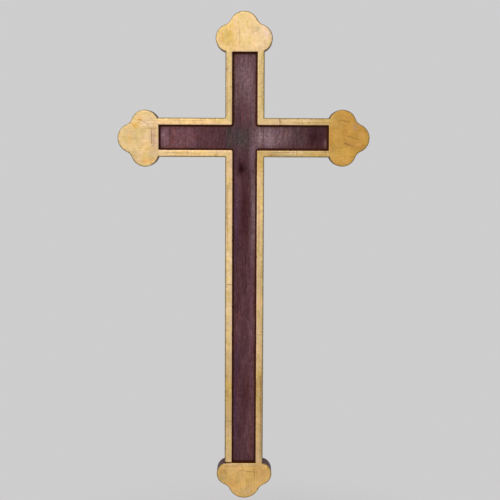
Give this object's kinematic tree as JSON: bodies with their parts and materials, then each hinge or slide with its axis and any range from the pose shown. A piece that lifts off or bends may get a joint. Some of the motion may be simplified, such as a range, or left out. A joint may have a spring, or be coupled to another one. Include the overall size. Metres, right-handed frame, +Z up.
{
  "type": "altar cross",
  "caption": "Flat wooden latin cross with three-lobed gilded ends, gilded border rails round a recessed dark painted field, and a keyhole plate let into the back to hang it by.",
  "frame": {"origin": "centre of the keyhole's entry hole, in the plane of the flat back", "axes": "+Z up along the upright, +X to the right seen from the front, +Y out of the back towards the wall, so the front faces -Y"},
  "size_m": [0.3106, 0.0238, 0.61],
  "materials": {
    "gilded_wood": "worn gold leaf over red bole and gesso on the front, dark burgundy paint on the sides and back",
    "painted_wood": "dark burgundy paint, satin, with brush marks along the grain",
    "dowel_beech": "plain beech",
    "pin_steel": "bright steel",
    "hanger_steel": "dull zinc-plated steel"
  },
  "bodies": {
    "root": {"upright_core": "painted_wood", "crossbar_core": "painted_wood", "top_trefoil": "gilded_wood", "left_trefoil": "gilded_wood", "right_trefoil": "gilded_wood", "foot_trefoil": "gilded_wood", "rail_top_left": "gilded_wood", "rail_top_right": "gilded_wood", "rail_foot_left": "gilded_wood", "rail_foot_right": "gilded_wood", "rail_left_upper": "gilded_wood", "rail_left_lower": "gilded_wood", "rail_right_upper": "gilded_wood", "rail_right_lower": "gilded_wood", "end_dowels": "dowel_beech", "rail_pins": "pin_steel", "hanger_plate": "hanger_steel", "hanger_screws": "hanger_steel"}
  },
  "joints": []
}
